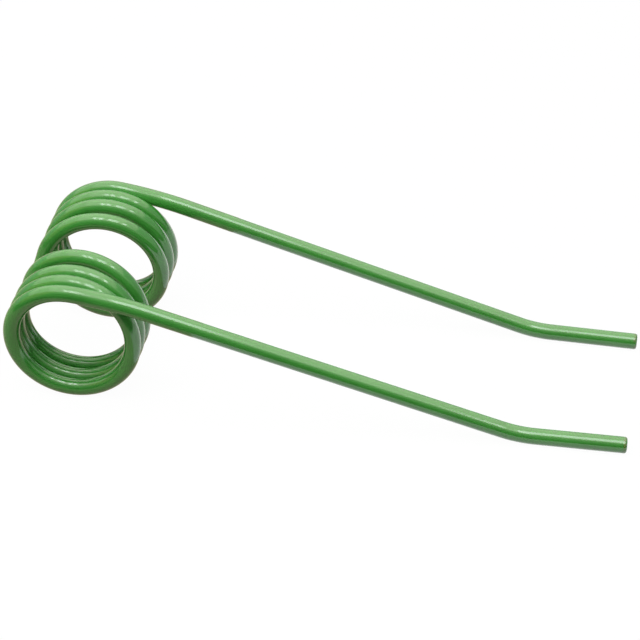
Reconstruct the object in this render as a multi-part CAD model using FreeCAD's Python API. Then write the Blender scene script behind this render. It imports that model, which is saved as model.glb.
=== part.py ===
import FreeCAD, Part
import math
import os

from FreeCAD import Base

# Double spring tine of a baler pick-up, bent from one length of round spring wire.
# Millimetres. The origin is the middle of the coils' common axis, which runs along Y.
# The arms point to +X and +Z is up, with the tine lying on its coils and its tips.
# Each half is bent in its own flat frame first: x along the arm, z square to it.

# Wire
wire_d = 5.5
cut_edge_r = 0.9

# Coils, which are wound from the bridge outwards to the arms
coil_inside_d = 34.5
coil_turns = 3.25
turn_gap = 0.3
open_turn_gap = 4.6
open_from_turn = 2.37
pitch_change_turns = 0.2
arm_lead_turns = 0.05

# Bridge, the loop between the coils that goes round the clamping bolt
bridge_inside_w = 12.4

# Arms
lead_out_angle = 9.7
lead_out_r = 148.0
arm_straight = 119.6
arm_toe_in = 1.0
kick_angle = 16.2
kick_r = 40.0
tip_length = 29.4

# Points laid along the coil's curve, and the spans it is drawn in
points_per_turn = 12
points_past_end = 3
spans_per_turn = 4

coil_r = (coil_inside_d + wire_d) / 2
close_pitch = wire_d + turn_gap
open_pitch = wire_d + open_turn_gap
lead_out = math.radians(lead_out_angle)
toe_in = math.radians(arm_toe_in)
kick = math.radians(kick_angle)
first_turn = lead_out / (2 * math.pi)
toe_in_pitch = 2 * math.pi * coil_r * math.tan(toe_in)

# Height of the arm over the coil's axis, in the half's own frame
arm_start_x = (lead_out_r - coil_r) * math.sin(lead_out)
arm_z = coil_r * math.cos(lead_out) + lead_out_r * (1 - math.cos(lead_out))
kick_x = arm_start_x + arm_straight


def eased(turn, start, width):
    """Way gone since start by a rate that grows smoothly from 0 to 1 over width."""
    t = min(max((turn - start) / width, 0.0), 1.0)
    return width * (t**3 - t**4 / 2) + max(turn - start - width, 0.0)


def wound_in(turn):
    """How far the wire has moved towards the middle since it left the arm."""
    outward = -toe_in_pitch * (turn - first_turn)
    close = (close_pitch + toe_in_pitch) * eased(turn, first_turn, arm_lead_turns)
    opened = eased(turn, open_from_turn - pitch_change_turns / 2, pitch_change_turns)
    return outward + close + (open_pitch - close_pitch) * opened


# Side distances from the middle, from the bridge outwards
leg_y = (bridge_inside_w + wire_d) / 2
coil_start_y = leg_y + wound_in(coil_turns)


def coil_point(turn):
    """Point of the coil, where turn 0 is its top and the wire goes round by the back."""
    angle = 2 * math.pi * turn
    y = coil_start_y - wound_in(turn)
    return Base.Vector(-coil_r * math.sin(angle), y, coil_r * math.cos(angle))


def coil_rate(turn):
    """Way that the wire goes for each turn at that point, as a vector."""
    step = 1e-5
    return (coil_point(turn + step) - coil_point(turn - step)) / (2 * step)


def arm_point(x, z):
    """Point of the arm's flat shape, turned about its start on the coil by the toe-in."""
    start = coil_point(first_turn)
    along = x - start.x
    return Base.Vector(start.x + along * math.cos(toe_in), start.y - along * math.sin(toe_in), z)


def kick_point(angle):
    """Point of the kick's arc, angle past its start at the straight arm."""
    return arm_point(kick_x + kick_r * math.sin(angle), arm_z + kick_r * (1 - math.cos(angle)))


def lead_out_point(angle):
    """Point of the long arc between the straight arm and the coil."""
    drop = lead_out_r * (1 - math.cos(angle))
    return arm_point(arm_start_x - lead_out_r * math.sin(angle), arm_z - drop)


def tip_point():
    """Middle of the tip's cut end."""
    x = kick_x + kick_r * math.sin(kick) + tip_length * math.cos(kick)
    z = arm_z + kick_r * (1 - math.cos(kick)) + tip_length * math.sin(kick)
    return arm_point(x, z)


def arm_edges():
    """Tip, kick, straight arm and the long arc that leads into the coil."""
    return [
        Part.LineSegment(tip_point(), kick_point(kick)).toShape(),
        Part.Arc(kick_point(kick), kick_point(kick / 2), kick_point(0)).toShape(),
        Part.LineSegment(kick_point(0), lead_out_point(0)).toShape(),
        Part.Arc(
            lead_out_point(0), lead_out_point(lead_out / 2), lead_out_point(lead_out)
        ).toShape(),
    ]


def coil_edges():
    """The coil in spans of one smooth curve, which is laid out past both ends of the coil."""
    count = math.ceil((coil_turns - first_turn) * points_per_turn)
    step = (coil_turns - first_turn) / count
    numbers = range(-points_past_end, count + points_past_end + 1)
    turns = [first_turn + i * step for i in numbers]
    curve = Part.BSplineCurve()
    curve.interpolate(Points=[coil_point(turn) for turn in turns], Parameters=turns)
    spans = math.ceil((coil_turns - first_turn) * spans_per_turn)
    cuts = [first_turn + (coil_turns - first_turn) * i / spans for i in range(spans + 1)]
    return [curve.toShape(start, end) for start, end in zip(cuts, cuts[1:])]


def bridge_edge():
    """Quarter loop from the coil's last point to the middle, in the plane of both legs."""
    leg = coil_point(coil_turns)
    onward = coil_rate(coil_turns)
    down = Base.Vector(onward.x, 0, onward.z)
    lean = math.atan2(-onward.y, down.Length)
    radius = leg_y / math.cos(lean)
    down.normalize()

    def point(angle):
        middle = Base.Vector(leg.x, 0, leg.z) + down * (radius * (math.sin(angle) - math.sin(lean)))
        return middle + Base.Vector(0, radius * math.cos(angle), 0)

    return Part.Arc(point(lean), point((lean + math.pi / 2) / 2), point(math.pi / 2)).toShape()


def half_path():
    """Middle line of one half, from the tip to the middle of the bridge."""
    return Part.Wire(arm_edges() + coil_edges() + [bridge_edge()])


def slope_to_reach(point, drop):
    """Angle, about the coils' axis, by which a point comes down to drop below that axis."""
    reach = math.hypot(point.x, point.z)
    return math.acos(-drop / reach) - math.atan2(point.x, point.z)


def rest_slope():
    """Slope of the arms when the coils and the kicks or tips touch one flat surface."""
    kick_centre = arm_point(kick_x, arm_z + kick_r)
    on_kick = slope_to_reach(kick_centre, coil_r - kick_r)
    on_tip = slope_to_reach(tip_point(), coil_r)
    return min(on_kick, on_tip)


def half_tine():
    """The wire's round section carried from the tip to the middle of the bridge."""
    tip = tip_point()
    into_tip = (kick_point(kick) - tip).normalize()
    section = Part.Wire([Part.Circle(tip, into_tip, wire_d / 2).toShape()])
    body = half_path().makePipeShell([section], True, False)
    cut_end = min(body.Faces, key=lambda face: (face.CenterOfMass - tip).Length)
    return body.makeFillet(cut_edge_r, cut_end.Edges)


def double_tine():
    """Both halves, joined in the middle of the bridge and laid down to rest."""
    half = half_tine()
    other = half.mirror(Base.Vector(0, 0, 0), Base.Vector(0, 1, 0))
    whole = half.fuse(other)
    whole.rotate(Base.Vector(0, 0, 0), Base.Vector(0, 1, 0), math.degrees(rest_slope()))
    return whole


os.makedirs("parts", exist_ok=True)
tine = double_tine()
wire_length = 2 * half_path().Length
wire_volume = wire_length * math.pi * wire_d**2 / 4
box = tine.optimalBoundingBox(False, False)
print("resting slope of the arms:", round(math.degrees(rest_slope()), 2), "degrees")
print("spacing of the arms at the coils:", round(2 * coil_start_y, 2), "mm")
print("wire length:", round(wire_length, 1), "mm")
print("volume:", round(tine.Volume, 1), "against section times length:", round(wire_volume, 1))
print("lengths along X, Y and Z:", round(box.XLength, 1), round(box.YLength, 1), round(box.ZLength, 1))
tine.exportStep("parts/double_tine.step")
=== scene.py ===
# %% [markdown]
# A double spring tine for the pick-up reel of a hay baler
#
# The real part is one length of round spring steel wire. A forming machine winds two coils,
# leaves a small loop between them for the clamping bolt, and bends the tips up a little. The
# whole part is then dipped in green enamel and stoved. So there is one piece to model here,
# and nearly all of its look is a long round surface under soft studio light.

import math

import bpy
import numpy as np
from mathutils import Matrix, Vector


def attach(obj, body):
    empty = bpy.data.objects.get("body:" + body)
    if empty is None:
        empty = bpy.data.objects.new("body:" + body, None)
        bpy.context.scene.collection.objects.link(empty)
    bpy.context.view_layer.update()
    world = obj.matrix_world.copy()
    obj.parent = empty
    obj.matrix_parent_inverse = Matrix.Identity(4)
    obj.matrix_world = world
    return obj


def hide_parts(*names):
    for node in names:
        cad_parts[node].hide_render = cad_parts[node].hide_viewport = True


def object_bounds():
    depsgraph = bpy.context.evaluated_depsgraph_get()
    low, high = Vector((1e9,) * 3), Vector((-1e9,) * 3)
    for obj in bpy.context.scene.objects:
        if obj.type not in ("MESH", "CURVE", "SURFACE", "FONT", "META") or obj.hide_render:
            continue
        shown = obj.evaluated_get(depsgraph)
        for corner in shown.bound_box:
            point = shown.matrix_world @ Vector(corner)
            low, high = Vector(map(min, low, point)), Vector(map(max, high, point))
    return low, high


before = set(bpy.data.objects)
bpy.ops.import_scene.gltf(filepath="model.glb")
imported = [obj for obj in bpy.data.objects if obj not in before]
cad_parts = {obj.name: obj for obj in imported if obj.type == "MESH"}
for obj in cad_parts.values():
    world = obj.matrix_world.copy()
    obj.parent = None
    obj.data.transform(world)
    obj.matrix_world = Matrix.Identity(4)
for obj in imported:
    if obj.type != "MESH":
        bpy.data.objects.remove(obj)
cad_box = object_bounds()
print("measured part, low corner", [round(v, 4) for v in cad_box[0]])
print("measured part, high corner", [round(v, 4) for v in cad_box[1]])

# %% [markdown]
# Step 1: sizes
#
# The measured part arrives as loose triangles, and the bright lines that soft lamps draw along
# a glossy wire would break at every one of them. So the wire is made again from the same sizes
# as a fine regular grid. The sizes are in millimetres, as on a drawing of the tine, and are
# turned to Blender's metres only when the mesh is made.

# %% Sizes of the wire and its bends
MM = 0.001
WIRE_D = 5.5
CUT_EDGE_R = 0.9

COIL_INSIDE_D = 34.5
COIL_TURNS = 3.25
TURN_GAP = 0.3
OPEN_TURN_GAP = 4.6
OPEN_FROM_TURN = 2.37
PITCH_CHANGE_TURNS = 0.2
ARM_LEAD_TURNS = 0.05

BRIDGE_INSIDE_W = 12.4

LEAD_OUT = math.radians(9.7)
LEAD_OUT_R = 148.0
ARM_STRAIGHT = 119.6
TOE_IN = math.radians(1.0)
KICK = math.radians(16.2)
KICK_R = 40.0
TIP_LENGTH = 29.4

wire_r = WIRE_D / 2
coil_r = (COIL_INSIDE_D + WIRE_D) / 2
close_pitch = WIRE_D + TURN_GAP
open_pitch = WIRE_D + OPEN_TURN_GAP
first_turn = LEAD_OUT / (2 * math.pi)
toe_in_pitch = 2 * math.pi * coil_r * math.tan(TOE_IN)
leg_y = (BRIDGE_INSIDE_W + WIRE_D) / 2
arm_start_x = (LEAD_OUT_R - coil_r) * math.sin(LEAD_OUT)
arm_z = coil_r * math.cos(LEAD_OUT) + LEAD_OUT_R * (1 - math.cos(LEAD_OUT))
kick_x = arm_start_x + ARM_STRAIGHT
print("middle line of the coils, radius", coil_r, "mm, close turns", close_pitch, "mm apart")

# %% [markdown]
# Step 2: the wire's middle line
#
# A curve object with a round bevel would do for a hose, but a spring is a set of exact bends.
# Each stretch of it has a formula, so each is worked out as one whole array of points: two
# straight runs, two arcs, a helix whose pitch opens in its last turn, and a quarter loop. Only
# one half is worked out, from the tip to the middle of the loop. The other half mirrors it.
#
# Along with its points, each stretch gives the heading, which is the angle that the wire has
# turned through, seen from the side. It tells the tube later which way is outwards.

# %% The coil's pitch
RING_STEP = 0.85


def along(start, end, length):
    """Even values from start towards end, without the end: one for each ring of the mesh, and
    the rings are RING_STEP apart at most."""
    return np.linspace(start, end, math.ceil(length / RING_STEP), endpoint=False)


def eased(turn, start, width):
    """Way gone since start by a rate that grows smoothly from 0 to 1 over width: width times
    (t to the third less half of t to the fourth), and after that one for one."""
    t = np.clip((turn - start) / width, 0, 1)
    return width * (t**3 - t**4 / 2) + np.maximum(turn - start - width, 0)


def wound_in(turn):
    """Way towards the middle: the arm's toe-in undone, then the close pitch, then the open one."""
    close = (close_pitch + toe_in_pitch) * eased(turn, first_turn, ARM_LEAD_TURNS)
    opened = eased(turn, OPEN_FROM_TURN - PITCH_CHANGE_TURNS / 2, PITCH_CHANGE_TURNS)
    return close + (open_pitch - close_pitch) * opened - toe_in_pitch * (turn - first_turn)


coil_start_y = leg_y + wound_in(COIL_TURNS)
print("the arms leave the coils", round(2 * coil_start_y, 2), "mm apart")


# %% Points of the coil and of the arm
def coil_line(turn):
    """Helix round the Y axis: x is minus the radius times the sine of the turned angle, z the
    radius times its cosine, and y falls by the way wound in."""
    angle = 2 * math.pi * turn
    y = coil_start_y - wound_in(turn)
    return np.stack([-coil_r * np.sin(angle), y, coil_r * np.cos(angle)], axis=-1)


def arm_line(x, z):
    """Flat shape of the arm in x and z, turned about its start on the coil by the toe-in."""
    start = coil_line(np.array(first_turn))
    forward = x - start[0]
    y = start[1] - forward * math.sin(TOE_IN)
    return np.stack([start[0] + forward * math.cos(TOE_IN), y, z], axis=-1)


def kick_line(angle):
    """Arc at the end of the straight arm, which lifts the tip: radius times sine, and radius
    times one less cosine."""
    return arm_line(kick_x + KICK_R * np.sin(angle), arm_z + KICK_R * (1 - np.cos(angle)))


def tip_line(way):
    """Straight run past the kick, way millimetres beyond its end."""
    x = kick_x + KICK_R * math.sin(KICK) + way * math.cos(KICK)
    z = arm_z + KICK_R * (1 - math.cos(KICK)) + way * math.sin(KICK)
    return arm_line(x, z)


def lead_out_line(angle):
    """Long arc from the straight arm, at angle 0, down to the coil."""
    drop = LEAD_OUT_R * (1 - np.cos(angle))
    return arm_line(arm_start_x - LEAD_OUT_R * np.sin(angle), arm_z - drop)


print("the coil begins at", coil_line(np.array(first_turn)).round(2))

# %% [markdown]
# The loop between the coils lies in the plane of its two legs. A leg comes off the coil with a
# slight lean towards the middle, which the helix's slope gives it, so the loop starts at that
# lean and turns on to a quarter circle, where the other half takes over.

# %% The loop's quarter circle
def loop_line(part):
    """Circle in the plane of the legs: the sine of the angle carries it down the leg and the
    cosine carries it across. part runs from 0 at the coil to 1 in the middle."""
    leg = coil_line(np.array(COIL_TURNS))
    heading = 2 * math.pi * COIL_TURNS
    down = np.array([-math.cos(heading), 0, -math.sin(heading)])
    lean = math.atan2(open_pitch, 2 * math.pi * coil_r)
    radius = leg_y / math.cos(lean)
    angle = lean + (math.pi / 2 - lean) * part
    points = leg * [1, 0, 1] + down * (radius * (np.sin(angle) - math.sin(lean)))[:, None]
    points[:, 1] = radius * np.cos(angle)
    return points


print("the loop's middle is at", loop_line(np.ones(1))[0].round(2))

# %% One half of the wire
lead_out_arc = along(0, LEAD_OUT, LEAD_OUT_R * LEAD_OUT)
kick_arc = along(KICK, 0, KICK_R * KICK)
turns = along(first_turn, COIL_TURNS, 2 * math.pi * coil_r * (COIL_TURNS - first_turn))
tip_ways = along(TIP_LENGTH - CUT_EDGE_R, 0, TIP_LENGTH)
arm_xs = along(kick_x, arm_start_x, ARM_STRAIGHT)
loop_parts = np.append(along(0, 1, leg_y * math.pi / 2), 1.0)

half = np.concatenate(
    [
        tip_line(tip_ways),
        kick_line(kick_arc),
        arm_line(arm_xs, np.full(len(arm_xs), arm_z)),
        lead_out_line(lead_out_arc),
        coil_line(turns),
        loop_line(loop_parts),
    ]
)
half_heading = np.concatenate(
    [
        np.full(len(tip_ways), KICK),
        kick_arc,
        np.zeros(len(arm_xs)),
        lead_out_arc,
        2 * math.pi * turns,
        np.full(len(loop_parts), 2 * math.pi * COIL_TURNS),
    ]
)
print("one half has", len(half), "points on its middle line")

# %% [markdown]
# Step 3: lay the tine down
#
# Left alone on a table, the tine rests on its coils and on its two tips. So the arms slope down
# until the tip's middle, or the arc of the kick, is as far below the coils' axis as the coils
# reach. The slope is then a matter of one right-angled triangle.

# %% Resting slope and the whole wire
def slope_to_reach(x, z, drop):
    """Turn about Y that brings the point down to drop below the axis."""
    return math.acos(-drop / math.hypot(x, z)) - math.atan2(x, z)


tip_end = tip_line(np.array(TIP_LENGTH))
kick_centre = arm_line(np.array(kick_x), np.array(arm_z + KICK_R))
rest_slope = min(
    slope_to_reach(tip_end[0], tip_end[2], coil_r),
    slope_to_reach(kick_centre[0], kick_centre[2], coil_r - KICK_R),
)
laid_down = np.array(Matrix.Rotation(rest_slope, 3, "Y"))

mirrored = half[-2::-1] * [1, -1, 1]
centre = np.concatenate([half, mirrored]) @ laid_down.T
heading = np.concatenate([half_heading, half_heading[-2::-1]])
print("the arms slope down by", round(math.degrees(rest_slope), 2), "degrees")

# %% [markdown]
# Step 4: a round tube along the line
#
# Each point of the line carries a ring. The ring needs two directions square to the wire. A
# frame that only looks at the next point may spin about the wire, and would wring the mesh. The
# heading gives a steady one instead: outwards is the coil's own radius, carried on along the
# arm and the loop. The other direction is the cross product of the wire's way and outwards.

# %% Directions along the wire
length = np.concatenate([[0], np.cumsum(np.linalg.norm(np.diff(centre, axis=0), axis=1))])
onward = np.gradient(centre, length, axis=0)
onward /= np.linalg.norm(onward, axis=1)[:, None]

outward = np.stack([-np.sin(heading), np.zeros(len(heading)), np.cos(heading)], axis=1)
outward = outward @ laid_down.T
outward -= onward * np.sum(outward * onward, axis=1)[:, None]
outward /= np.linalg.norm(outward, axis=1)[:, None]
across = np.cross(onward, outward)
wire_length = length[-1] + 2 * CUT_EDGE_R
print("wire length", round(wire_length, 1), "mm")

# %% [markdown]
# The wire is sheared to length, and tumbling and paint leave the cut edge a little round. The
# rounding is more rings: a quarter circle takes them in from the full radius to the flat end,
# and a few smaller rings and one middle point close the flat.

# %% Rings of the whole tube
ROUND_RINGS = 7
FLAT_RINGS = 3
AROUND = 44

turn_in = np.linspace(0, math.pi / 2, ROUND_RINGS, endpoint=False)
flat_r = wire_r - CUT_EDGE_R
flat_share = np.arange(1, FLAT_RINGS) / FLAT_RINGS
end_ring_r = np.concatenate([flat_r * flat_share, flat_r + CUT_EDGE_R * np.sin(turn_in)])
end_ring_way = np.concatenate([np.full(len(flat_share), CUT_EDGE_R), CUT_EDGE_R * np.cos(turn_in)])

rings = len(end_ring_r)
ring_centre = np.concatenate(
    [
        centre[0] - onward[0] * end_ring_way[:, None],
        centre,
        centre[-1] + onward[-1] * end_ring_way[::-1, None],
    ]
)
ring_r = np.concatenate([end_ring_r, np.full(len(centre), wire_r), end_ring_r[::-1]])
ring_out = np.pad(outward, ((rings, rings), (0, 0)), mode="edge")
ring_across = np.pad(across, ((rings, rings), (0, 0)), mode="edge")
print(len(ring_r), "rings of", AROUND, "points")


# %% Points and faces of the tube
def tube_points(centres, radii, outs, sides, count):
    """Ring point = centre + radius times (cosine of its angle times outwards, plus sine of its
    angle times the way across)."""
    angle = np.linspace(0, 2 * math.pi, count, endpoint=False)[None, :, None]
    spread = np.cos(angle) * outs[:, None, :] + np.sin(angle) * sides[:, None, :]
    return (centres[:, None, :] + radii[:, None, None] * spread).reshape(-1, 3)


def tube_faces(ring_count, count):
    """Four-sided faces from ring to ring, wound so that they face outwards: each joins point j
    and j + 1 of one ring to the same points of the next."""
    ring, j = np.meshgrid(np.arange(ring_count - 1), np.arange(count), indexing="ij")
    after = (j + 1) % count
    this_ring, next_ring = ring * count, (ring + 1) * count
    corners = [this_ring + j, next_ring + j, next_ring + after, this_ring + after]
    return np.stack(corners, axis=-1).reshape(-1, 4)[:, ::-1]


def end_faces(first, middle, count):
    """Triangles of a flat end, from the ring that starts at point first to its middle point,
    wound so that they face back along the wire."""
    j = np.arange(count)
    return np.stack([np.full(count, middle), first + (j + 1) % count, first + j], axis=1)


points = tube_points(ring_centre, ring_r, ring_out, ring_across, AROUND)
middles = np.stack([ring_centre[0], ring_centre[-1]])
first_middle = len(points)
last_ring = first_middle - AROUND
walls = tube_faces(len(ring_r), AROUND)
near_end = end_faces(0, first_middle, AROUND)
far_end = end_faces(last_ring, first_middle + 1, AROUND)[:, ::-1]
print(len(walls) + len(near_end) + len(far_end), "faces")

# %% [markdown]
# from_pydata takes the points and faces of a mesh and works out its edges. The wire's mesh then
# rides on the part's one body, and stands for the measured part, which is hidden.

# %% Put the wire into Blender
def new_piece(name, vertices, faces):
    """A mesh object at the origin, whose vertices are given in millimetres."""
    mesh = bpy.data.meshes.new(name)
    mesh.from_pydata((vertices * MM).tolist(), [], faces)
    mesh.shade_smooth()
    made = bpy.data.objects.new(name, mesh)
    bpy.context.scene.collection.objects.link(made)
    return made


tine = new_piece(
    "double_tine_wire",
    np.concatenate([points, middles]),
    walls.tolist() + near_end.tolist() + far_end.tolist(),
)
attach(tine, "root")
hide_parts("double_tine")
print(tine.name, "has", len(tine.data.vertices), "points and", len(tine.data.polygons), "faces")

# %% [markdown]
# Enamel draws back from a corner while it is wet. So each point of the mesh carries one number,
# which says how far the paint is thinned there. It is small on the flat of a cut end, grows to 1
# over the rounded edge, and fades out within a few millimetres of wire. foreach_set hands over
# all the numbers at once.

# %% Thinned paint at the cut ends
FLAT_THINNING = 0.3
ROUND_THINNING = (0.6, 1.0)
THINNING_FADE = 0.9

way_from_cut = np.minimum(length, length[::-1])
flat_thinning = np.full(FLAT_RINGS - 1, FLAT_THINNING)
round_thinning = np.linspace(*ROUND_THINNING, ROUND_RINGS)
ring_thinning = np.concatenate(
    [
        flat_thinning,
        round_thinning,
        np.exp(-way_from_cut / THINNING_FADE),
        round_thinning[::-1],
        flat_thinning,
    ]
)
thinning = np.append(np.repeat(ring_thinning, AROUND), np.full(len(middles), FLAT_THINNING))
thinned = tine.data.attributes.new("paint_thinned", "FLOAT", "POINT")
thinned.data.foreach_set("value", thinning.astype(np.float32))
print("the paint is thinned by half or more at", int(np.sum(thinning >= 0.5)), "points")

# %% [markdown]
# Step 5: the enamel
#
# A colour on a screen is written in sRGB, but light adds up in linear values, so one function
# turns a hex colour to linear. One more function adds a node with its settings and links, which
# keeps each material readable as a list of what it is made of.

# %% Colour and node helpers
def linear(hex_colour):
    """sRGB hex to linear red, green, blue and alpha: each part over 12.92 when it is small, and
    otherwise (part + 0.055) / 1.055 to the power 2.4."""
    parts = [int(hex_colour[i : i + 2], 16) / 255 for i in (1, 3, 5)]
    return [p / 12.92 if p <= 0.04045 else ((p + 0.055) / 1.055) ** 2.4 for p in parts] + [1.0]


def add_node(tree, kind, settings, inputs):
    """Adds a node. settings are its own properties. inputs go to its sockets, by name or by
    number: a socket of another node is linked, and anything else is set as the value."""
    made = tree.nodes.new(kind)
    for name, value in settings.items():
        setattr(made, name, value)
    for name, value in inputs.items():
        if isinstance(value, bpy.types.NodeSocket):
            tree.links.new(value, made.inputs[name])
        else:
            made.inputs[name].default_value = value
    return made


def empty_tree(holder):
    """Turns nodes on for a material or a world and clears what Blender puts there."""
    holder.use_nodes = True
    holder.node_tree.nodes.clear()
    return holder.node_tree


def per_mm(period):
    """Noise scale on Object coordinates, in metres, for features about period mm apart."""
    return 1 / (period * MM)


# %% [markdown]
# The finish is stoving enamel: a thick alkyd paint, dipped and baked. The colour drifts very
# slightly where the coat is thicker. One noise, with patches some 14 mm across, is the coat's
# thickness. Its values crowd round a half, so the change of colour is stretched over the narrow
# span in which most of them lie.

# %% Green of the coat
ENAMEL = "#43953A"
ENAMEL_THICK = "#3E8E35"
COLOUR_SPAN = (0.35, 0.65)

# A Mix node has a set of sockets for each kind of value, and these are the ones for colours.
MIX_FIRST = 6
MIX_SECOND = 7
MIX_RESULT = 2


def coat_colour(tree, thickness):
    """Green, a little deeper where the coat is thick."""
    span = {"From Min": COLOUR_SPAN[0], "From Max": COLOUR_SPAN[1]}
    drift = add_node(tree, "ShaderNodeMapRange", {}, {"Value": thickness, **span})
    greens = {MIX_FIRST: linear(ENAMEL), MIX_SECOND: linear(ENAMEL_THICK)}
    share = {0: drift.outputs["Result"]}
    return add_node(tree, "ShaderNodeMix", {"data_type": "RGBA"}, {**share, **greens}).outputs[MIX_RESULT]


print("the coat's green in linear light:", [round(v, 3) for v in linear(ENAMEL)[:3]])

# %% [markdown]
# At the cut edge the paint has drawn thin, so the brown of the primed steel comes through. It
# does so in specks under a millimetre across, where the thinning and a fine noise are both high,
# and nowhere more than by half.

# %% Primer at the cut edge
PRIMED_STEEL = "#7B5A3C"
SPECK_PERIOD = 0.9
PRIMER_SPAN = (0.33, 0.63)
PRIMER_SHARE = 0.5


def over_primer(tree, place, green):
    """The green, mixed with the primer's brown by the thinning times the specks' noise."""
    speck = {"Vector": place, "Scale": per_mm(SPECK_PERIOD), "Detail": 3.0, "Roughness": 0.6}
    broken = add_node(tree, "ShaderNodeTexNoise", {}, speck)
    edge = add_node(tree, "ShaderNodeAttribute", {"attribute_name": "paint_thinned"}, {})
    both = {0: edge.outputs["Fac"], 1: broken.outputs["Fac"]}
    worn = add_node(tree, "ShaderNodeMath", {"operation": "MULTIPLY"}, both)
    span = {"From Min": PRIMER_SPAN[0], "From Max": PRIMER_SPAN[1], "To Max": PRIMER_SHARE}
    shown = add_node(tree, "ShaderNodeMapRange", {}, {"Value": worn.outputs["Value"], **span})
    paints = {0: shown.outputs["Result"], MIX_FIRST: green, MIX_SECOND: linear(PRIMED_STEEL)}
    return add_node(tree, "ShaderNodeMix", {"data_type": "RGBA"}, paints).outputs[MIX_RESULT]


print("primer shows through by", PRIMER_SHARE, "at most")

# %% [markdown]
# The enamel flows out nearly flat before it sets, so it has a clear gloss with two faint waves
# left in it. One is the wire's own unevenness under the paint, some millimetres long, and it
# breaks a lamp's reflection into blotches on the tight coils. The other is orange peel, about a
# millimetre across, which only roughens the edges of the highlights. Its real depth is a few
# thousandths of a millimetre.

# %% Waves left in the coat
WIRE_WAVE_PERIOD = 7.0
WIRE_WAVE_DEPTH = 0.02
ORANGE_PEEL_PERIOD = 1.6
ORANGE_PEEL_DEPTH = 0.004


def wavy_skin(tree, place):
    """Bump of the wire's own waves, and on it that of the orange peel."""
    wave = {"Vector": place, "Scale": per_mm(WIRE_WAVE_PERIOD), "Detail": 1.0, "Roughness": 0.4}
    waves = add_node(tree, "ShaderNodeTexNoise", {}, wave).outputs["Fac"]
    low = {"Height": waves, "Distance": WIRE_WAVE_DEPTH * MM, "Strength": 1.0}
    uneven = add_node(tree, "ShaderNodeBump", {}, low).outputs["Normal"]
    peel = {"Vector": place, "Scale": per_mm(ORANGE_PEEL_PERIOD), "Detail": 2.0, "Roughness": 0.5}
    peels = add_node(tree, "ShaderNodeTexNoise", {}, peel).outputs["Fac"]
    fine = {"Height": peels, "Distance": ORANGE_PEEL_DEPTH * MM, "Strength": 1.0, "Normal": uneven}
    return add_node(tree, "ShaderNodeBump", {}, fine).outputs["Normal"]


print("waves", WIRE_WAVE_DEPTH, "mm deep and orange peel", ORANGE_PEEL_DEPTH, "mm deep")

# %% Stoving enamel over primed spring steel
THICKNESS_PERIOD = 14.0
GLOSS_SPAN = (0.3, 0.7)
ROUGHNESS = (0.1, 0.14)
ENAMEL_IOR = 1.5


def stoving_enamel():
    """The whole finish. Where the coat is thick, its gloss is a little softer."""
    material = bpy.data.materials.new("stoving_enamel_green")
    tree = empty_tree(material)
    place = add_node(tree, "ShaderNodeTexCoord", {}, {}).outputs["Object"]
    coat = {"Vector": place, "Scale": per_mm(THICKNESS_PERIOD), "Detail": 2.0, "Roughness": 0.5}
    thickness = add_node(tree, "ShaderNodeTexNoise", {}, coat).outputs["Fac"]
    span = {"From Min": GLOSS_SPAN[0], "From Max": GLOSS_SPAN[1]}
    reach = {"To Min": ROUGHNESS[0], "To Max": ROUGHNESS[1]}
    gloss = add_node(tree, "ShaderNodeMapRange", {}, {"Value": thickness, **span, **reach})
    enamel = add_node(
        tree,
        "ShaderNodeBsdfPrincipled",
        {},
        {
            "Base Color": over_primer(tree, place, coat_colour(tree, thickness)),
            "Roughness": gloss.outputs["Result"],
            "Normal": wavy_skin(tree, place),
            "IOR": ENAMEL_IOR,
            "Metallic": 0.0,
        },
    )
    add_node(tree, "ShaderNodeOutputMaterial", {}, {"Surface": enamel.outputs["BSDF"]})
    return material


tine.data.materials.append(stoving_enamel())
print("finish:", tine.data.materials[0].name)

# %% [markdown]
# Step 6: the studio
#
# A product picture on white is made on a white table in a white room, with large soft lamps
# overhead. Such a room does two things to a painted wire. It lights the colour evenly, and it is
# mirrored in the gloss, where each lamp, wall and dark corner is a line along the wire. The two
# are set apart here, because the colour wants a plain level of light, at which it comes out as
# it is written, while lamps that are looked at are several times as bright as white paper.
#
# Light Path tells what a ray is for, so that one surface can be shown in one way and give its
# light in another.

# %% Rays that look
WHITE = "#FFFFFF"


def looked_at(tree):
    """1 for rays from the camera and for reflected and transmitted ones, 0 for scattered light:
    the highest of the three."""
    path = add_node(tree, "ShaderNodeLightPath", {}, {})
    either = {0: path.outputs["Is Camera Ray"], 1: path.outputs["Is Glossy Ray"]}
    seen = add_node(tree, "ShaderNodeMath", {"operation": "MAXIMUM"}, either)
    also = {0: seen.outputs["Value"], 1: path.outputs["Is Transmission Ray"]}
    return add_node(tree, "ShaderNodeMath", {"operation": "MAXIMUM"}, also).outputs["Value"]


# %% [markdown]
# The table's own colour is a mid grey, so that it throws only a little light up on the wire's
# underside. The camera and the reflections are shown it mostly as flat white. The small rest is
# its real shading, with the tine's shadow, and the white glows a little above 1 so that the
# open table comes out white all the same.

# %% White table
FLOOR_HALF = 6000.0
TABLE_COLOUR = "#858584"
SHOWN_WHITE = 0.88
WHITE_GLOW = 1.108


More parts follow.
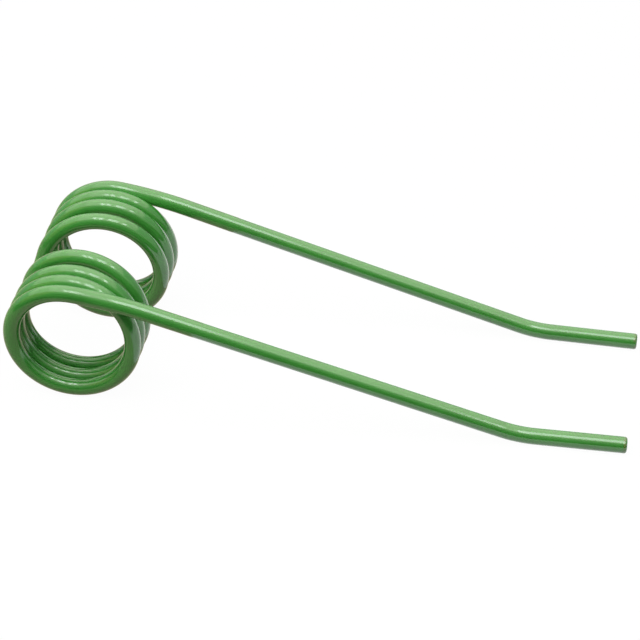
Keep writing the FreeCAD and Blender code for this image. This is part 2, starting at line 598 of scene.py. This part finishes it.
def white_table():
    """Matt grey, mixed with a white glow by SHOWN_WHITE for rays that look at it."""
    material = bpy.data.materials.new("white_table")
    tree = empty_tree(material)
    matt = add_node(tree, "ShaderNodeBsdfDiffuse", {}, {"Color": linear(TABLE_COLOUR)})
    glow = {"Color": linear(WHITE), "Strength": WHITE_GLOW}
    flat = add_node(tree, "ShaderNodeEmission", {}, glow)
    share = {0: looked_at(tree), 1: SHOWN_WHITE}
    part = add_node(tree, "ShaderNodeMath", {"operation": "MULTIPLY"}, share)
    both = {0: part.outputs["Value"], 1: matt.outputs["BSDF"], 2: flat.outputs["Emission"]}
    mixed = add_node(tree, "ShaderNodeMixShader", {}, both)
    add_node(tree, "ShaderNodeOutputMaterial", {}, {"Surface": mixed.outputs["Shader"]})
    return material


def rectangle(x, y, z):
    """Corners of a level rectangle from a pair of x values and a pair of y values, or of an
    upright one where z is a pair and y a single value."""
    if isinstance(z, tuple):
        return [[x[0], y, z[0]], [x[1], y, z[0]], [x[1], y, z[1]], [x[0], y, z[1]]]
    return [[x[0], y[0], z], [x[1], y[0], z], [x[1], y[1], z], [x[0], y[1], z]]


def card(name, corners, material):
    """A flat four-sided piece of the studio, from its corners in millimetres."""
    made = new_piece(name, np.array(corners, float), [[0, 1, 2, 3]])
    made.data.materials.append(material)
    return made


floor_z = cad_box[0].z / MM
whole_floor = (-FLOOR_HALF, FLOOR_HALF)
table = card("table", rectangle(whole_floor, whole_floor, floor_z), white_table())
print("the", table.name, "is", round(-floor_z, 2), "mm below the coils' axis")

# %% [markdown]
# Round the table the room is white too, where it is looked at. As light it is dim, and comes
# more from above than from the side, as from a pale ceiling over darker walls.

# %% White room
ROOM_LEVELS = (0.15, 0.5)


def white_room():
    """Surroundings: white where they are looked at. As light they are dimmer, and rise evenly
    from the height of the table to straight up."""
    world = bpy.data.worlds.new("white_room")
    tree = empty_tree(world)
    way = add_node(tree, "ShaderNodeTexCoord", {}, {}).outputs["Generated"]
    height = add_node(tree, "ShaderNodeSeparateXYZ", {}, {"Vector": way}).outputs["Z"]
    rise = {"Value": height, "To Min": ROOM_LEVELS[0], "To Max": ROOM_LEVELS[1]}
    given = add_node(tree, "ShaderNodeMapRange", {}, rise).outputs["Result"]
    level = {"Value": looked_at(tree), "To Min": given, "To Max": 1.0}
    strength = add_node(tree, "ShaderNodeMapRange", {}, level)
    light = {"Color": linear(WHITE), "Strength": strength.outputs["Result"]}
    background = add_node(tree, "ShaderNodeBackground", {}, light)
    add_node(tree, "ShaderNodeOutputWorld", {}, {"Surface": background.outputs["Background"]})
    return world


bpy.context.scene.world = white_room()
print("room light", ROOM_LEVELS[0], "from the side and", ROOM_LEVELS[1], "from above")

# %% [markdown]
# One soft lamp hangs a metre over the table, to the left of the coils and in front of them, and
# gives the light a direction: the top and the left of the wire are brightest, and a soft faint
# shadow falls to the right and behind. The lamp is left out of the reflections, where the cards
# below stand for it.

# %% Soft lamp
LAMP_AT = (-300.0, -250.0, 1000.0)
LAMP_SIZE = (1300.0, 1000.0)
LAMP_WATTS = 12.5

light = bpy.data.lights.new("soft_lamp", "AREA")
light.shape = "RECTANGLE"
light.size = LAMP_SIZE[0] * MM
light.size_y = LAMP_SIZE[1] * MM
light.energy = LAMP_WATTS
soft_lamp = bpy.data.objects.new("soft_lamp", light)
soft_lamp.location = Vector(LAMP_AT) * MM
soft_lamp.visible_camera = False
soft_lamp.visible_glossy = False
bpy.context.scene.collection.objects.link(soft_lamp)
print("soft lamp of", LAMP_WATTS, "watts at", [round(v, 2) for v in soft_lamp.location])

# %% [markdown]
# What the gloss mirrors is a set of glowing or dark cards, which only reflections see. On the
# straight arms each card is a line along the wire. Where a lamp has to be to draw a line is a
# matter of angles, so a card overhead is placed by the angles at which the coils see its edges.
# The angles and levels below were found by setting the picture beside a photograph of the tine,
# so they are right for that one view, and in other views they only make a likely studio.

# %% Cards for the reflections
CARD_HEIGHT = 2000.0


def out_by(angles, height=CARD_HEIGHT):
    """Way out from over the coils at which a card at that height is seen from them, at these
    angles in degrees from straight up: height times the tangent."""
    return tuple(height * math.tan(math.radians(angle)) for angle in angles)


def even_glow(name, colour, level):
    """The same brightness from every point, level times that of white."""
    material = bpy.data.materials.new(name)
    tree = empty_tree(material)
    glow = add_node(tree, "ShaderNodeEmission", {}, {"Color": linear(colour), "Strength": level})
    add_node(tree, "ShaderNodeOutputMaterial", {}, {"Surface": glow.outputs["Emission"]})
    return material


def mirrored_card(name, corners, material):
    """A card that only reflections see: it lights nothing and throws no shadow."""
    made = card(name, corners, material)
    made.visible_camera = False
    made.visible_diffuse = False
    made.visible_shadow = False
    made.visible_transmission = False
    return made


# %% [markdown]
# The lamp's cloth, over and behind the wire, is the even light band on its upper third. A white
# ceiling goes on beyond it, dimmer. Both end in front at the same angle, and that is where the
# band ends.

# %% Ceiling and lamp cloth
FRONT_ANGLE = -32.6
CLOTH_COLOUR = "#FFF6EB"
CLOTH_LEVEL = 4.3
CLOTH_ANGLES = (-37.0, 29.0), (FRONT_ANGLE, 50.0)
CEILING_LEVEL = 3.0
CEILING_ANGLES = (-68.0, 49.0), (FRONT_ANGLE, 74.0)
CEILING_OVER_CLOTH = 60.0

ceiling_height = CARD_HEIGHT + CEILING_OVER_CLOTH
ceiling = rectangle(out_by(CEILING_ANGLES[0]), out_by(CEILING_ANGLES[1]), ceiling_height)
mirrored_card("ceiling", ceiling, even_glow("ceiling_paint", CLOTH_COLOUR, CEILING_LEVEL))
cloth = rectangle(out_by(CLOTH_ANGLES[0]), out_by(CLOTH_ANGLES[1]), CARD_HEIGHT)
mirrored_card("cloth", cloth, even_glow("lamp_cloth", CLOTH_COLOUR, CLOTH_LEVEL))
print("the cloth is", round((cloth[1][0] - cloth[0][0]) * MM, 2), "m wide")

# %% [markdown]
# In the front part of the cloth four tubes shine through, side by side. They draw the bright
# line on the arms, and on the coils, whose bend squeezes the whole room together, each tube is
# a dash of its own. The tips lie level while the arms slope, so they mirror another part of the
# room, and a lower tube over them draws their line.

# %% Tubes
TUBE_LEVEL = 13.0
TUBE_SIDES = [(-15.0, -10.0), (-7.0, -1.6), (6.3, 17.0), (27.8, 32.4)]
TUBE_ENDS = (-29.0, -3.0)
TUBE_UNDER_CLOTH = 10.0

tube_glass = even_glow("tube_glass", WHITE, TUBE_LEVEL)
for number, sides in enumerate(TUBE_SIDES):
    tube = rectangle(out_by(sides), out_by(TUBE_ENDS), CARD_HEIGHT - TUBE_UNDER_CLOTH)
    mirrored_card(f"tube_{number}", tube, tube_glass)
print(len(TUBE_SIDES), "tubes in the cloth")

# %% Low tube over the tips
LOW_TUBE_LEVEL = 9.5
LOW_TUBE_HEIGHT = 700.0
LOW_TUBE_SIDES = (120.0, 255.0)
LOW_TUBE_ENDS = (-27.0, 0.0)

low_tube = rectangle(LOW_TUBE_SIDES, out_by(LOW_TUBE_ENDS, LOW_TUBE_HEIGHT), LOW_TUBE_HEIGHT)
mirrored_card("low_tube", low_tube, even_glow("low_tube_glass", WHITE, LOW_TUBE_LEVEL))
print("low tube", LOW_TUBE_HEIGHT * MM, "m over the tips")

# %% [markdown]
# In front of the wire stands a dark flag, as a photographer puts up to give gloss an edge, and
# it keeps the colour of the wire's side deep. It starts a metre to the left of the coils and
# goes on to the right. Left of it comes the room's warm wall, which shows on the coils' left
# sides. The lamp reaches the upper part of both, so their glow rises with height.

# %% Flag and wall
FLAG_EDGE = -1000.0
DARK_LEVEL = 0.08
FLAG_LEVELS = (DARK_LEVEL, 2.2)
WALL_COLOUR = "#FFE9B8"
WALL_LEVELS = (0.8, 2.2)
SHADED_UP_TO = 400.0


def lit_from_above(name, colour, levels):
    """An upright surface that catches the lamp from above: its glow rises with height, in a
    straight line from its shaded foot to its top."""
    material = bpy.data.materials.new(name)
    tree = empty_tree(material)
    place = add_node(tree, "ShaderNodeTexCoord", {}, {}).outputs["Object"]
    height = add_node(tree, "ShaderNodeSeparateXYZ", {}, {"Vector": place}).outputs["Z"]
    ends = {"From Min": SHADED_UP_TO * MM, "From Max": CARD_HEIGHT * MM}
    reached = {"To Min": levels[0], "To Max": levels[1]}
    rise = add_node(tree, "ShaderNodeMapRange", {}, {"Value": height, **ends, **reached})
    glow = {"Color": linear(colour), "Strength": rise.outputs["Result"]}
    light = add_node(tree, "ShaderNodeEmission", {}, glow)
    add_node(tree, "ShaderNodeOutputMaterial", {}, {"Surface": light.outputs["Emission"]})
    return material


front_y = out_by([FRONT_ANGLE])[0]
# Both glows are painted lamp light. They grow brighter towards the top, where the lamp reaches the flag
# and the wall.
flag = rectangle((FLAG_EDGE, FLOOR_HALF), front_y, (floor_z, CARD_HEIGHT))
mirrored_card("flag", flag, lit_from_above("flag_cloth_lit_from_above", CLOTH_COLOUR, FLAG_LEVELS))
wall = rectangle((-FLOOR_HALF, FLAG_EDGE), front_y, (floor_z, CARD_HEIGHT))
mirrored_card("wall", wall, lit_from_above("wall_paint_lit_from_above", WALL_COLOUR, WALL_LEVELS))
print("flag and wall stand", round(-front_y * MM, 2), "m in front")

# %% [markdown]
# The lower side of the wire mirrors the table, in three parts. Under and behind the arms it is
# in full light. Under and behind the coils, which crowd together and keep light from it, it is
# dimmer and warmer. In front the flag's shade makes it dark. The three lie a hair above the
# table, so that reflections meet them first.

# %% Table as the gloss sees it
OVER_TABLE = 0.2
TABLE_FRONT = -95.0
ARMS_FROM = 32.0
LIT_TABLE_LEVEL = 1.9
SHADED_TABLE_COLOUR = "#FFF0D8"
SHADED_TABLE_LEVEL = 0.9

table_depth = (TABLE_FRONT, FLOOR_HALF)
lit_table = rectangle((ARMS_FROM, FLOOR_HALF), table_depth, floor_z + OVER_TABLE)
mirrored_card("lit_table", lit_table, even_glow("lit_table", WHITE, LIT_TABLE_LEVEL))
shaded_table = rectangle((-FLOOR_HALF, ARMS_FROM), table_depth, floor_z + OVER_TABLE)
shade = even_glow("shaded_table", SHADED_TABLE_COLOUR, SHADED_TABLE_LEVEL)
mirrored_card("shaded_table", shaded_table, shade)
dark_table = rectangle(whole_floor, (front_y, TABLE_FRONT), floor_z + OVER_TABLE)
mirrored_card("dark_table", dark_table, even_glow("dark_table", WHITE, DARK_LEVEL))

# %% [markdown]
# Last comes the camera, where the picture of the tine was taken from. It looks down by some 36
# degrees, nearly square to the arms, and is so far off that the far arm looks hardly smaller
# than the near one.

# %% Camera
CAMERA_AT = (178.1, -579.63, 430.89)
CAMERA_AZIMUTH = math.radians(9.867)
CAMERA_ELEVATION = math.radians(36.441)
CAMERA_ROLL = math.radians(-0.071)
CAMERA_LENS = 123.5
SENSOR_WIDTH = 36.0

data = bpy.data.cameras.new("camera")
data.sensor_width = SENSOR_WIDTH
data.lens = CAMERA_LENS
camera = bpy.data.objects.new("camera", data)
lifted = Matrix.Rotation(math.pi / 2 - CAMERA_ELEVATION, 4, "X")
turned = Matrix.Rotation(CAMERA_AZIMUTH, 4, "Z") @ lifted @ Matrix.Rotation(CAMERA_ROLL, 4, "Z")
camera.matrix_world = Matrix.Translation(Vector(CAMERA_AT) * MM) @ turned
bpy.context.scene.collection.objects.link(camera)
bpy.context.scene.camera = camera
bpy.context.scene.view_settings.view_transform = "Standard"
print("camera looks along", [round(v, 3) for v in -camera.matrix_world.col[2].xyz])

# %% Update the scene and finish
bpy.context.view_layer.update()
